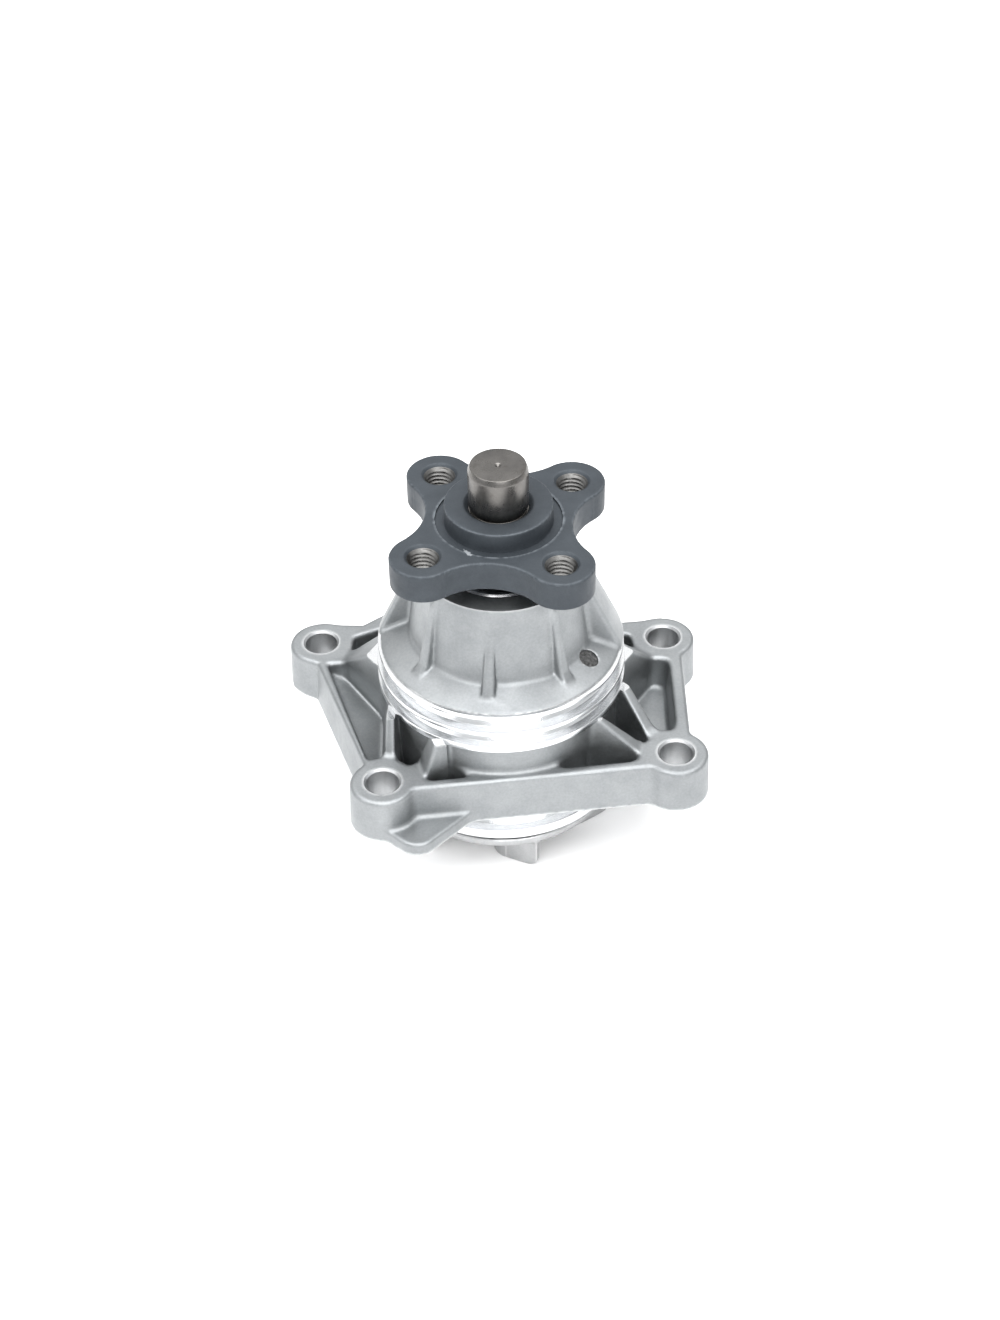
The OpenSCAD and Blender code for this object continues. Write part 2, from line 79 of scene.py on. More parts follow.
def convex(x, y, points, k):
    """Convex polygon with rounded corners."""
    area = sum(a[0] * b[1] - b[0] * a[1] for a, b in zip(points, points[1:] + points[:1]))
    side = 1.0 if area > 0 else -1.0
    field = None
    for a, b in zip(points, points[1:] + points[:1]):
        run = math.hypot(b[0] - a[0], b[1] - a[1])
        nx, ny = side * (b[1] - a[1]) / run, -side * (b[0] - a[0]) / run
        edge = (x - a[0]) * nx + (y - a[1]) * ny
        field = edge if field is None else smax(field, edge, k)
    return field


def polygon(x, y, points):
    """Exact distance to any simple polygon."""
    best, inside = None, None
    for a, b in zip(points, points[1:] + points[:1]):
        ex, ey = b[0] - a[0], b[1] - a[1]
        wx, wy = x - a[0], y - a[1]
        t = np.clip((wx * ex + wy * ey) / (ex * ex + ey * ey), 0.0, 1.0)
        gap = (wx - ex * t) ** 2 + (wy - ey * t) ** 2
        best = gap if best is None else np.minimum(best, gap)
        crosses = ((a[1] > y) != (b[1] > y)) & (x < ex * (y - a[1]) / (ey if ey else 1e-9) + a[0])
        inside = crosses if inside is None else inside ^ crosses
    return np.where(inside, -1.0, 1.0) * np.sqrt(best)


# ---------------------------------------------------------------- dual contouring

def contour(field, low, high, step):
    """Mesh of field = 0: points in mm, quads and how convex the surface is at each point."""
    counts = [int(math.ceil((h - l) / step)) + 1 for l, h in zip(low, high)]
    axes = [l + step * np.arange(n) for l, n in zip(low, counts)]
    grid = np.broadcast_to(
        field(axes[0][:, None, None], axes[1][None, :, None], axes[2][None, None, :]), counts
    ).astype(np.float32)
    cells = [n - 1 for n in counts]
    points, cell_ids, quads = [], [], []
    for axis in range(3):
        first = [slice(None)] * 3
        second = [slice(None)] * 3
        first[axis], second[axis] = slice(0, -1), slice(1, None)
        f0, f1 = grid[tuple(first)], grid[tuple(second)]
        i, j, k = np.nonzero((f0 < 0) != (f1 < 0))
        others = [a for a in range(3) if a != axis]
        index = [i, j, k]
        keep = np.ones(len(i), bool)
        for a in others:
            keep &= (index[a] > 0) & (index[a] < cells[a])
        index = [q[keep] for q in index]
        a0 = f0[index[0], index[1], index[2]]
        a1 = f1[index[0], index[1], index[2]]
        t = a0 / (a0 - a1)
        at = np.stack([axes[n][index[n]] for n in range(3)], 1)
        at[:, axis] += t * step
        ring = []
        for du, dv in ((-1, -1), (0, -1), (0, 0), (-1, 0)):
            cell = [q.copy() for q in index]
            cell[others[0]] += du
            cell[others[1]] += dv
            ring.append((cell[0] * cells[1] + cell[1]) * cells[2] + cell[2])
        ring = np.stack(ring, 1)
        flip = (a0 < 0) == (axis == 1)
        ring[flip] = ring[flip][:, ::-1]
        points.append(at)
        cell_ids.append(ring)
        quads.append(ring)
    points = np.concatenate(points)
    cell_ids = np.concatenate(cell_ids)
    # the surface's direction at each crossing, from the field itself
    d = step * 0.02
    here = field(points[:, 0], points[:, 1], points[:, 2])
    normals = np.stack(
        [
            field(points[:, 0] + d * (n == 0), points[:, 1] + d * (n == 1), points[:, 2] + d * (n == 2)) - here
            for n in range(3)
        ],
        1,
    )
    length = np.linalg.norm(normals, axis=1, keepdims=True)
    normals /= np.maximum(length, 1e-9)
    points -= normals * (here[:, None] * d / np.maximum(length, 1e-9)).clip(-step, step)

    used, slot = np.unique(cell_ids, return_inverse=True)
    slot = slot.reshape(cell_ids.shape)
    n_cells = len(used)
    owner = slot.ravel()
    p = np.repeat(points, 4, axis=0)
    n = np.repeat(normals, 4, axis=0)

    def gather(values):
        return np.bincount(owner, weights=values, minlength=n_cells)

    number = gather(np.ones(len(owner)))
    mean = np.stack([gather(p[:, a]) for a in range(3)], 1) / number[:, None]
    normal = np.stack([gather(n[:, a]) for a in range(3)], 1) / number[:, None]
    offset = ((p - mean[owner]) * n).sum(1)
    matrix = np.empty((n_cells, 3, 3))
    vector = np.empty((n_cells, 3))
    for a in range(3):
        vector[:, a] = gather(n[:, a] * offset)
        for b in range(a, 3):
            matrix[:, a, b] = matrix[:, b, a] = gather(n[:, a] * n[:, b])
    matrix += 0.06 * np.eye(3)
    shift = np.linalg.solve(matrix, vector[:, :, None])[:, :, 0]
    corner = mean + shift
    iz = used % cells[2]
    iy = (used // cells[2]) % cells[1]
    ix = used // (cells[2] * cells[1])
    base = np.stack([axes[0][ix], axes[1][iy], axes[2][iz]], 1)
    corner = np.clip(corner, base - 0.1 * step, base + 1.1 * step)
    flatness = np.linalg.norm(normal, axis=1)
    convexity = np.sign((shift * normal).sum(1)) * (1.0 - flatness)
    # spread the measure a little over its neighbours, so that the lighter edges (partly wear, partly painted
    # highlight) don't follow the grid
    a, b = slot[:, [0, 1, 2, 3]].ravel(), slot[:, [1, 2, 3, 0]].ravel()
    links = np.bincount(a, minlength=n_cells) + np.bincount(b, minlength=n_cells)
    for _ in range(2):
        near = np.bincount(a, weights=convexity[b], minlength=n_cells)
        near += np.bincount(b, weights=convexity[a], minlength=n_cells)
        convexity = 0.4 * convexity + 0.6 * near / np.maximum(links, 1)
    return corner, slot, convexity


def mesh_object(name, points, faces, smooth_angle=32.0, attribute=None):
    """Object from points in mm and equal-sized faces, smooth except over sharp edges."""
    mesh = bpy.data.meshes.new(name)
    size = faces.shape[1]
    mesh.vertices.add(len(points))
    mesh.vertices.foreach_set("co", (np.asarray(points, np.float32) * MM).ravel())
    mesh.loops.add(faces.size)
    mesh.loops.foreach_set("vertex_index", faces.astype(np.int32).ravel())
    mesh.polygons.add(len(faces))
    mesh.polygons.foreach_set("loop_start", np.arange(0, faces.size, size, dtype=np.int32))
    mesh.update(calc_edges=True)
    mesh.validate()
    if attribute is not None:
        layer = mesh.attributes.new("edge", "FLOAT", "POINT")
        layer.data.foreach_set("value", attribute.astype(np.float32))
    mesh.polygons.foreach_set("use_smooth", np.ones(len(mesh.polygons), bool))
    mesh.set_sharp_from_angle(angle=math.radians(smooth_angle))
    obj = bpy.data.objects.new(name, mesh)
    bpy.context.scene.collection.objects.link(obj)
    return obj


def rounded(profile, radius, steps=3):
    """Closed profile with each corner replaced by a small arc."""
    out = []
    count = len(profile)
    for i in range(count):
        p = Vector(profile[i]).to_2d()
        a, b = Vector(profile[i - 1]).to_2d(), Vector(profile[(i + 1) % count]).to_2d()
        cut = min(radius, 0.45 * (a - p).length, 0.45 * (b - p).length)
        start, end = p + (a - p).normalized() * cut, p + (b - p).normalized() * cut
        for s in range(steps + 1):
            t = s / steps
            out.append(tuple(start * (1 - t) ** 2 + p * 2 * t * (1 - t) + end * t ** 2))
    return out


def lathe(name, profile, segments=240, radius=0.12, smooth_angle=32.0, centre=(0, 0)):
    """Ring turned from a closed profile of (radius, height) in mm, about an upright axis at centre."""
    outline = np.array(rounded([(r, z) for r, z in profile], radius) if radius else profile)
    turn = np.arange(segments) * 2 * math.pi / segments
    points = np.stack(
        [
            centre[0] + outline[None, :, 0] * np.cos(turn)[:, None],
            centre[1] + outline[None, :, 0] * np.sin(turn)[:, None],
            np.broadcast_to(outline[None, :, 1], (segments, len(outline))),
        ],
        2,
    ).reshape(-1, 3)
    n = len(outline)
    i = np.arange(segments)[:, None]
    j = np.arange(n)[None, :]
    a = i * n + j
    b = ((i + 1) % segments) * n + j
    c = ((i + 1) % segments) * n + (j + 1) % n
    d = i * n + (j + 1) % n
    faces = np.stack([a, b, c, d], 2).reshape(-1, 4)
    area = sum(
        outline[k - 1][0] * outline[k][1] - outline[k][0] * outline[k - 1][1] for k in range(n)
    )
    if area < 0:
        faces = faces[:, ::-1]
    return mesh_object(name, points, faces, smooth_angle)


# ---------------------------------------------------------------- the pump's sizes, in millimetres

MOUTH_R, MOUTH_Z = 21.9, 61.0
RIM_R, RIM_Z = 33.6, 34.7
LAND_R, NECK_R = 34.0, 32.3
RING_LOW = 22.4
SLOPE = (RIM_R - MOUTH_R) / (MOUTH_Z - RIM_Z)
TILT = math.atan(SLOPE)
FRAME_H = 13.2
BOLTS = [(-51.5, 23.7), (46.6, 23.6), (-32.4, -34.6), (47.1, -25.0)]
OUTLINE = [
    (-51.5, 32.5), (-40, 32), (-32.5, 37.8), (28.5, 37.8), (35.5, 31.4), (46.6, 32.4),
    (51.9, 20), (51.9, -20), (46, -30.4), (-27, -38.6), (-38, -28), (-52.6, 14.2), (-59, 20),
]
POCKETS = [
    [(-49.4, 14.3), (-33, 14.3), (-32.2, -3.9), (-32.4, -24.4), (-36.6, -25.8)],
    [(-29.2, -9), (-21.6, -21), (-21.8, -25.6), (-25.6, -28.2), (-29.2, -25)],
    [(-18.6, -22.5), (-21.2, -32.8), (-20.3, -34.2), (-9, -32.9)],
    [(14, -28.5), (16, -30.2), (36, -27.8), (37, -26), (35.9, -23.6), (22, -20.6)],
    [(31.5, -5), (26.5, -17.5), (27.5, -20.8), (36.6, -21.2), (38.6, -21.2), (40.1, -19)],
    [
        (31, -4), (41.6, -15.6), (44.2, -16.2), (46.8, -16), (47.6, -14.6), (47.7, 13.2), (46.8, 14.2),
        (39, 14.2), (31, 6),
    ],
    [(-42.8, 25.4), (-33.5, 29.6), (-27, 26), (-27, 21.5), (-42.8, 19.6)],
    [(27, 27), (37.4, 24.6), (38.4, 19.2), (27, 20.5)],
]
# height of each pocket's floor at x = 0, its slope along x and the draft of its walls
FLOORS = [(-4.93, -0.2833, 0.045)] + [(2, 0, 0.045)] * 4 + [(3.2, 0, 0.09)] + [(2, 0, 0.045)] * 2
# webs: outline, where the top starts to fall from the ring's level and where it meets the frame
WEBS = [
    ([(-27.8, -9), (-29.3, -25.6), (-32.3, -25.6), (-30.8, -9)], (-30.1, -20), (-30.9, -24.6)),
    (
        [(-15, -24), (-22.4, -26.2), (-21.9, -33.1), (-17.5, -31.4), (-14.8, -30.4), (-13, -27)],
        (-18.6, -29.4), (-21.7, -30.4),
    ),
    ([(22, -21.5), (36.9, -24.8), (37.7, -20.6), (22, -19.5)], (27.1, -21.1), (37.2, -23.4)),
    ([(28.5, -5.6), (40.4, -19), (42.7, -16.1), (31, -3.1)], (34.4, -9.5), (40.9, -16.8)),
    ([(-31, -2.2), (-44.8, 15.1), (-43.2, 19.9), (-27, 20.6), (-27, 4)], (-36.1, 9.5), (-45.1, 15)),
    ([(31, -3.3), (42.9, 15), (38.6, 19), (27, 19.8), (27, 8)], (35.7, 8), (41.9, 15.2)),
]
TAB = [(-36, -40), (-25.6, -49.4), (-20.8, -49.4), (-6.6, -35), (-20, -33)]
TAB_H = 3.4
# front of the cone: the tower's draft, where the shelf starts and its slope, the planes of the flanks,
# and each rib's angle with whether it runs up to the mouth
TOWER_DRAFT = 0.1295
SHELF_R, SHELF_Z, SHELF_SLOPE = 24.8, 38.65, 0.4432
FLANK_LEFT_Y, FLANK_RIGHT_Y = 2.2, -6.4
RIBS = [(-141.3, True), (-97.4, False), (-51.5, True)]
# vent: drilled square to the shelf, and the upright slot that joins it to the seal's chamber
VENT_ANGLE, VENT_R, VENT_FROM, VENT_DEPTH = math.radians(-30.1), 2.75, 27.2, 12
VENT_AT = (VENT_FROM * math.cos(VENT_ANGLE), VENT_FROM * math.sin(VENT_ANGLE), 37.54)
VENT_OUT = (0.405 * math.cos(VENT_ANGLE), 0.405 * math.sin(VENT_ANGLE), 0.914)
SLOT_FROM, SLOT_R, SLOT_LOW, SLOT_TOP = 20.5, 3, 11, 31
# bores from the mouth down: the bearing's, the shoulder under it and the face seal's
BEARING_R, BEARING_LOW = 15, 21.7
SHOULDER_R, SHOULDER_LOW = 13.4, 18
SEAL_R, SEAL_TOP = 18.25, 19.5
# bolt holes: the drilled wall and the larger hole in the casting that it stands in
BOLT_R, CAST_R = 4.5, 5.1


def cone(x, y, z):
    """Body above the turned ring: a tower on a sloping shelf between two flanks, with three ribs."""
    r = np.hypot(x, y)
    body = np.maximum((r - MOUTH_R - (MOUTH_Z - z) * SLOPE) * math.cos(TILT), RIM_Z - 0.08 - z)
    core = -(r - MOUTH_R - (MOUTH_Z - z) * TOWER_DRAFT) * 0.992
    shelf = (SHELF_Z - (r - SHELF_R) * SHELF_SLOPE - z) * 0.914
    core = smax(core, shelf, 1.0)
    core = smax(core, np.where(x < 0, y - FLANK_LEFT_Y, y - FLANK_RIGHT_Y), 1.6)
    cored = smax(body, -core, 0.9)
    for degrees, tall in RIBS:
        a = math.radians(degrees)
        out, across = x * math.cos(a) + y * math.sin(a), y * math.cos(a) - x * math.sin(a)
        if tall:
            edge = np.maximum(29.1 - (z - 36.7) * 0.607, 27.4 - (z - 39.5) * 0.218)
        else:
            edge = 29.0 - (z - 36.8) * 0.376
        width = 2.35 + 1.2 * np.clip((52 - z) / 14, 0, 1)
        rib = smax(np.abs(across) - width / 2, (out - edge) * 0.94, 1.3)
        rib = np.maximum(np.maximum(rib, 12 - out), body)
        cored = smin(cored, rib, 0.8)
    return np.maximum(cored, np.maximum(z - MOUTH_Z, RIM_Z - 0.08 - z))


def frame_walls(x, y, z):
    """Bolt frame: drafted walls, cored pockets, bosses, floors and the tab."""
    low = FRAME_H - z
    walls = polygon(x, y, OUTLINE) + 0.075 * (z - FRAME_H / 2)
    for outline, (height, slope, draft) in zip(POCKETS, FLOORS):
        floor = (height + slope * x - z) / math.hypot(1, slope)
        walls = smax(walls, -smax(convex(x, y, outline, 2.0) + draft * low, floor, 1.6), 0.8)
    for bx, by in BOLTS:
        walls = smin(walls, np.hypot(x - bx, y - by) - 8.8 - 0.035 * low, 1.4)
    walls = smax(walls, z - FRAME_H, 1.3)
    tab = smax(convex(x, y, TAB, 1.6) + 0.05 * z, z - TAB_H, 1.0)
    return smin(walls, tab, 1.6)


def housing(x, y, z):
    r = np.hypot(x, y)
    neck = np.maximum(r - NECK_R, np.maximum(z - RING_LOW - 0.05, -z))
    body = smin(frame_walls(x, y, z), neck, 1.6)
    for outline, start, foot in WEBS:
        run = math.hypot(foot[0] - start[0], foot[1] - start[1])
        along = ((x - start[0]) * (foot[0] - start[0]) + (y - start[1]) * (foot[1] - start[1])) / run
        fall = (RING_LOW - FRAME_H) / run
        slope = (z - RING_LOW + along * fall) / math.hypot(1, fall)
        body = smin(body, smax(polygon(x, y, outline) + 0.035 * (z - FRAME_H), slope, 1.0), 1.2)
    body = np.maximum(body, np.maximum(z - RING_LOW - 0.02, -z))
    body = np.minimum(body, np.maximum(r - 30.6, np.maximum(z - RIM_Z, -5 - z)))
    body = np.minimum(body, cone(x, y, z))
    # drilled and turned holes; the bolt holes' drilled walls are pieces of their own
    for bx, by in BOLTS:
        body = np.maximum(body, CAST_R - np.hypot(x - bx, y - by))
    bore = np.maximum(r - BEARING_R, BEARING_LOW - z)
    bore = np.minimum(bore, (r - BEARING_R - (z - MOUTH_Z + 0.9)) * 0.707)
    bore = np.minimum(bore, np.maximum(r - SHOULDER_R, SHOULDER_LOW - z))
    bore = np.minimum(bore, np.maximum(r - SEAL_R, z - SEAL_TOP))
    body = np.maximum(body, -bore)
    vx, vy, vz = x - VENT_AT[0], y - VENT_AT[1], z - VENT_AT[2]
    depth = vx * VENT_OUT[0] + vy * VENT_OUT[1] + vz * VENT_OUT[2]
    across = np.sqrt(np.maximum(vx * vx + vy * vy + vz * vz - depth * depth, 1e-9))
    vent = np.maximum(across - VENT_R, -depth - VENT_DEPTH)
    body = smax(body, -vent, 0.3)
    slot_x, slot_y = SLOT_FROM * math.cos(VENT_ANGLE), SLOT_FROM * math.sin(VENT_ANGLE)
    slot = np.hypot(x - slot_x, y - slot_y) - SLOT_R
    slot = np.maximum(slot, np.maximum(z - SLOT_TOP, SLOT_LOW - z))
    return np.maximum(body, -slot)


HUB_TOP, HUB_LOW, BOSS_TOP = 75.0, 66.5, 80.0
HUB_TURN = math.radians(-6.4)
HOLE_AT, ARM_R, WAIST_R = 25.25, 8.9, 19.7
HOLE_X = HOLE_AT * math.cos(math.pi / 4)
# the arc of each waist touches both arm ends
WAIST_ARC = (ARM_R ** 2 - WAIST_R ** 2 - HOLE_AT ** 2 + 2 * WAIST_R * HOLE_X) / (
    2 * (WAIST_R - HOLE_X - ARM_R)
)
BOSS_R, GROOVE_R, GROOVE_DEPTH = 14.4, 16.8, 0.6
COLLAR_R, COLLAR_LOW = 12, 62.4
# tapped holes: the hole in the plate that the thread piece stands in, and the countersink at the top
TAP_R, SINK_R = 4.12, 4.95
SHAFT_R = 7.959


def hub(x, y, z):
    """Four-arm hub in its own turn, with pilot boss, groove, collar and plain holes for the threads."""
    r = np.hypot(x, y)
    ax, ay = np.abs(x), np.abs(y)
    arm = np.hypot(ax - HOLE_X, ay - HOLE_X) - ARM_R
    at = WAIST_R + WAIST_ARC
    waist = np.minimum(np.hypot(ax - at, ay), np.hypot(ax, ay - at)) - WAIST_ARC
    chord_in = np.maximum(ax + ay - 2 * HOLE_X, -waist)
    plate = smin(arm, chord_in, 0.15)
    plate = smax(plate, np.maximum(z - HUB_TOP, HUB_LOW - z), 0.7)
    boss = smax(r - BOSS_R, np.maximum(z - BOSS_TOP, HUB_LOW + 1 - z), 0.6)
    body = np.minimum(plate, boss)
    groove = np.maximum(np.maximum(BOSS_R - r, r - GROOVE_R), HUB_TOP - GROOVE_DEPTH - z)
    body = smax(body, -groove, 0.3)
    body = np.minimum(body, np.maximum(r - COLLAR_R, np.maximum(COLLAR_LOW - z, z - 70)))
    body = np.maximum(body, -(r - SHAFT_R))
    body = smax(body, -(r - SHAFT_R - (z - BOSS_TOP + 1.25)) * 0.707, 0.25)
    hole = np.hypot(ax - HOLE_X, ay - HOLE_X)
    body = np.maximum(body, -(hole - TAP_R))
    return smax(body, -(hole - SINK_R - (z - HUB_TOP)) * 0.707, 0.2)


IMP_R, DISC_LOW, DISC_TOP, VANE_LOW = 31.5, -15.6, -13.1, -24.9
VANES, VANE_TURN = 6, math.radians(-94.5)
VANE_HALF, ROOT_FROM, BEND_AT, BEND_R, TAIL_LEN = 1.1, 13, 21.6, 4, 9.6
IMP_BOSS_R, IMP_BORE_R = 11.5, 10


def impeller(x, y, z):
    """Disc with six vanes: radial at the root, bent over into a short tail."""
    r = np.hypot(x, y)
    disc = smax(r - IMP_R, np.maximum(z - DISC_TOP, DISC_LOW - z), 0.9)
    boss = smax(r - IMP_BOSS_R, np.maximum(-21 - z, z + 14), 0.8)
    body = smin(disc, boss, 1.2)
    angle = np.arctan2(y, x) - VANE_TURN
    for k in range(-1, 2):
        # each point looks at its own sector's vane and the two beside it
        sector = 2 * math.pi / VANES
        turn = (np.round(angle / sector) + k) * sector + VANE_TURN
        u = x * np.cos(turn) + y * np.sin(turn)
        v = -x * np.sin(turn) + y * np.cos(turn)
        root = np.maximum(np.abs(v) - VANE_HALF, np.maximum(ROOT_FROM - u, u - BEND_AT))
        sweep = math.radians(70)
        end_u, end_v = BEND_AT + BEND_R * math.sin(sweep), BEND_R - BEND_R * math.cos(sweep)
        du, dv = math.cos(sweep), math.sin(sweep)
        along = (u - end_u) * du + (v - end_v) * dv
        tail = np.abs(-(u - end_u) * dv + (v - end_v) * du) - VANE_HALF
        tail = np.maximum(tail, np.maximum(-along, along - TAIL_LEN))
        tail = smax(tail, (VANE_LOW - z) * 0.8 + (along - 8.2) * 0.6, 1.6)
        bend = np.abs(np.hypot(u - BEND_AT, v - BEND_R) - BEND_R) - VANE_HALF
        bend = np.maximum(bend, np.maximum(BEND_AT - u, along))
        vane = np.minimum(np.minimum(root, bend), tail)
        vane = smax(vane, np.maximum(VANE_LOW - z, z + 14.5), 0.7)
        body = smin(body, vane, 0.8)
    return np.maximum(body, -(r - IMP_BORE_R))


# ---------------------------------------------------------------- materials

def nodes_of(name):
    material = bpy.data.materials.new(name)
    material.use_nodes = True
    tree = material.node_tree
    shader = tree.nodes["Principled BSDF"]
    return material, tree, shader


def add(tree, kind, **values):
    node = tree.nodes.new(kind)
    for key, value in values.items():
        setattr(node, key, value)
    return node


def noise(tree, scale, detail=4.0, rough=0.55, stretch=(1, 1, 1)):
    """Noise in object space, its size in metres so that it stays put on the part."""
    where = add(tree, "ShaderNodeTexCoord")
    mapping = add(tree, "ShaderNodeMapping")
    mapping.inputs["Scale"].default_value = stretch
    tree.links.new(where.outputs["Object"], mapping.inputs["Vector"])
    grain = add(tree, "ShaderNodeTexNoise")
    grain.inputs["Scale"].default_value = scale
    grain.inputs["Detail"].default_value = detail
    grain.inputs["Roughness"].default_value = rough
    tree.links.new(mapping.outputs["Vector"], grain.inputs["Vector"])
    return grain.outputs["Fac"]


def ramp(tree, source, stops):
    """Colour ramp from (place, colour or value) stops."""
    node = add(tree, "ShaderNodeValToRGB")
    band = node.color_ramp
    while len(band.elements) < len(stops):
        band.elements.new(0.5)
    for element, (place, colour) in zip(band.elements, stops):
        if isinstance(colour, (int, float)):
            colour = (colour, colour, colour)
        element.position = place
        element.color = (*colour, 1)
    tree.links.new(source, node.inputs["Fac"])
    return node.outputs["Color"]


def mix(tree, share, a, b):
    node = add(tree, "ShaderNodeMix", data_type="RGBA")
    for value, socket in ((share, node.inputs[0]), (a, node.inputs[6]), (b, node.inputs[7])):
        if isinstance(value, bpy.types.NodeSocket):
            tree.links.new(value, socket)
        else:
            socket.default_value = value if isinstance(value, (int, float)) else (*value, 1)
    return node.outputs[2]


def bump(tree, shader, layers):
    """Chain of bump nodes from (height, distance in mm, strength)."""
    last = None
    for height, distance, strength in layers:
        node = add(tree, "ShaderNodeBump")
        node.inputs["Distance"].default_value = distance * MM
        node.inputs["Strength"].default_value = strength
        tree.links.new(height, node.inputs["Height"])
        if last:
            tree.links.new(last, node.inputs["Normal"])
        last = node.outputs["Normal"]
    tree.links.new(last, shader.inputs["Normal"])


def metal(name, dark, light, rough, patch=90, grain=1800, bump_mm=0.03, metallic=1.0,
          lines=None, edge_wear_and_highlight=None, edge_wear_and_highlight_at=(0.02, 0.09), stain=None, aniso=0.0, marks=(), mark_colour=None):
    """Metal with patchy colour and roughness, grain, and where asked tool lines, convex edges lightened partly by
    wear and partly by a painted highlight, stains or marks.
    """
    material, tree, shader = nodes_of(name)
    shader.inputs["Metallic"].default_value = metallic
    colour = ramp(tree, noise(tree, patch, 6, 0.6), [(0.3, dark), (0.7, light)])
    fine = noise(tree, grain, 5, 0.6)
    colour = mix(tree, 0.18, colour, ramp(tree, fine, [(0.35, tuple(c * 0.55 for c in dark)), (0.7, light)]))
    if stain:
        spots = ramp(tree, noise(tree, 260, 8, 0.7), [(0.56, 0.0), (0.72, 1.0)])
        colour = mix(tree, spots, colour, stain)
    roughness = ramp(tree, noise(tree, patch * 2.2, 5, 0.6), [(0.3, rough[0]), (0.7, rough[1])])
    layers = [(fine, bump_mm, 0.6)]
    if lines:
        cut = noise(tree, 1.0, 2, 0.5, lines)
        layers.append((cut, 0.012, 0.5))
        colour = mix(tree, 0.12, colour, ramp(tree, cut, [(0.3, tuple(c * 0.6 for c in dark)), (0.7, light)]))
    # convex edges painted lighter: partly real wear, partly a painted highlight for light caught on the edges
    if edge_wear_and_highlight:
        edge = add(tree, "ShaderNodeAttribute", attribute_name="edge")
        edge_rub_and_highlight = add(tree, "ShaderNodeMath", operation="MULTIPLY_ADD")
        tree.links.new(noise(tree, 700, 6, 0.7), edge_rub_and_highlight.inputs[0])
        edge_rub_and_highlight.inputs[1].default_value = 0.07
        tree.links.new(edge.outputs["Fac"], edge_rub_and_highlight.inputs[2])
        share = ramp(tree, edge_rub_and_highlight.outputs[0], [(edge_wear_and_highlight_at[0] + 0.035, 0.0), (edge_wear_and_highlight_at[1] + 0.035, 1.0)])
        colour = mix(tree, share, colour, edge_wear_and_highlight)
    # each mark is (place, turn about the axis, half sizes), in millimetres
    for at, turn, half in marks:
        where = add(tree, "ShaderNodeTexCoord")
        local = add(tree, "ShaderNodeMapping", vector_type="TEXTURE")
        local.inputs["Location"].default_value = tuple(v * MM for v in at)
        local.inputs["Rotation"].default_value = (0, 0, math.radians(turn))
        local.inputs["Scale"].default_value = tuple(v * MM for v in half)
        tree.links.new(where.outputs["Object"], local.inputs["Vector"])
        far = add(tree, "ShaderNodeVectorMath", operation="LENGTH")
        tree.links.new(local.outputs["Vector"], far.inputs[0])
        ragged = add(tree, "ShaderNodeMath", operation="MULTIPLY_ADD")
        tree.links.new(noise(tree, 1500, 3, 0.6), ragged.inputs[0])
        ragged.inputs[1].default_value = 0.8
        tree.links.new(far.outputs["Value"], ragged.inputs[2])
        colour = mix(tree, ramp(tree, ragged.outputs[0], [(0.85, 1.0), (1.0, 0.0)]), colour, mark_colour)
    tree.links.new(colour, shader.inputs["Base Color"])
    tree.links.new(roughness, shader.inputs["Roughness"])
    shader.inputs["Anisotropic"].default_value = aniso
    bump(tree, shader, layers)
    return material


def plain(name, dark, light, rough, grain=900, bump_mm=0.02, coat=0.0):
    """Rubber, moulded plastic, carbon or ceramic: speckled colour, uneven gloss and a fine skin."""
    material, tree, shader = nodes_of(name)
    fine = noise(tree, grain, 6, 0.65)
    tree.links.new(ramp(tree, fine, [(0.35, dark), (0.68, light)]), shader.inputs["Base Color"])
    tree.links.new(
        ramp(tree, noise(tree, grain / 6, 4, 0.5), [(0.3, rough[0]), (0.7, rough[1])]), shader.inputs["Roughness"]
    )
    shader.inputs["Coat Weight"].default_value = coat
    bump(tree, shader, [(fine, bump_mm, 0.7)])
    return material


